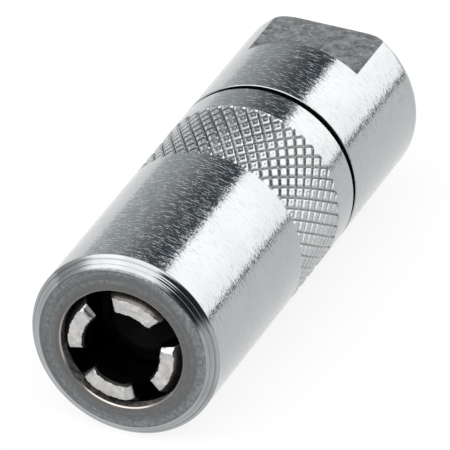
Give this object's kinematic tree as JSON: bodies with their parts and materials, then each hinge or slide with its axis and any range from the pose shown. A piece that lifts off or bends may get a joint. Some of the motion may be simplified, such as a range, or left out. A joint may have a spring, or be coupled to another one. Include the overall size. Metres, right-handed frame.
{
  "type": "grease coupler",
  "caption": "Round steel grease coupler: a knurled sleeve screwed on a body with wrench flats, with sprung jaws and a seal in its nose that grip a grease nipple.",
  "frame": {"origin": "centre of the inlet mouth, in the plane of the inlet face", "axes": "+Y along the coupler's axis and out of the inlet, -Y out of the nose, +Z square to a wrench flat"},
  "size_m": [0.015, 0.0421, 0.015],
  "materials": {
    "plated_steel": "bright plated, turned",
    "jaw_steel": "satin",
    "bare_steel": "turned",
    "spring_steel": "drawn wire",
    "ball_steel": "polished",
    "black_rubber": "matt"
  },
  "bodies": {
    "rear_body": {"rear_body": "plated_steel", "jaw_spring": "spring_steel", "piston_spring": "spring_steel", "retaining_ring": "spring_steel", "check_spring": "spring_steel", "spring_seat": "bare_steel"},
    "sleeve_screw": {"joint_ring": "black_rubber"},
    "sleeve": {"front_sleeve": "plated_steel"},
    "thrust_ring": {"thrust_ring": "bare_steel"},
    "jaw_1": {"jaw_1": "jaw_steel"},
    "jaw_2": {"jaw_2": "jaw_steel"},
    "jaw_3": {"jaw_3": "jaw_steel"},
    "jaw_4": {"jaw_4": "jaw_steel"},
    "piston": {"piston": "bare_steel", "piston_o_ring": "black_rubber", "nipple_seal": "black_rubber"},
    "check_ball": {"check_ball": "ball_steel"}
  },
  "joints": [
    {"name": "sleeve_travel", "type": "slide", "parent": "rear_body", "child": "sleeve_screw", "axis": [0, -1, 0], "range_m": [0, 0.006]},
    {"name": "sleeve_turn", "type": "hinge", "parent": "sleeve_screw", "child": "sleeve", "pos_m": [0, -0.028, 0], "axis": [0, -1, 0], "range_deg": [0, 2161]},
    {"name": "jaw_push", "type": "slide", "parent": "sleeve", "child": "thrust_ring", "axis": [0, 1, 0], "range_m": [0, 0.0015], "stiffness_N_per_m": 1500, "springref_m": -0.004, "deforming": ["jaw_spring"]},
    {"name": "jaw_1_slide", "type": "slide", "parent": "sleeve", "child": "jaw_1", "axis": [0.067, 0.9659, 0.25], "range_m": [0, 0.00156]},
    {"name": "jaw_2_slide", "type": "slide", "parent": "sleeve", "child": "jaw_2", "axis": [-0.25, 0.9659, 0.067], "range_m": [0, 0.00156]},
    {"name": "jaw_3_slide", "type": "slide", "parent": "sleeve", "child": "jaw_3", "axis": [-0.067, 0.9659, -0.25], "range_m": [0, 0.00156]},
    {"name": "jaw_4_slide", "type": "slide", "parent": "sleeve", "child": "jaw_4", "axis": [0.25, 0.9659, -0.067], "range_m": [0, 0.00156]},
    {"name": "piston_slide", "type": "slide", "parent": "rear_body", "child": "piston", "axis": [0, 1, 0], "range_m": [0, 0.0012], "stiffness_N_per_m": 600, "springref_m": -0.002, "deforming": ["piston_spring"]},
    {"name": "check_ball_lift", "type": "slide", "parent": "rear_body", "child": "check_ball", "axis": [0, -1, 0], "range_m": [0, 0.0008], "stiffness_N_per_m": 60, "springref_m": -0.001, "deforming": ["check_spring"]}
  ],
  "couplings": [
    {"joint": "sleeve_turn", "follows": "sleeve_travel", "rad_per_m": 6283.2},
    {"joint": "jaw_1_slide", "follows": "jaw_push", "ratio": 1.0353},
    {"joint": "jaw_2_slide", "follows": "jaw_push", "ratio": 1.0353},
    {"joint": "jaw_3_slide", "follows": "jaw_push", "ratio": 1.0353},
    {"joint": "jaw_4_slide", "follows": "jaw_push", "ratio": 1.0353}
  ]
}
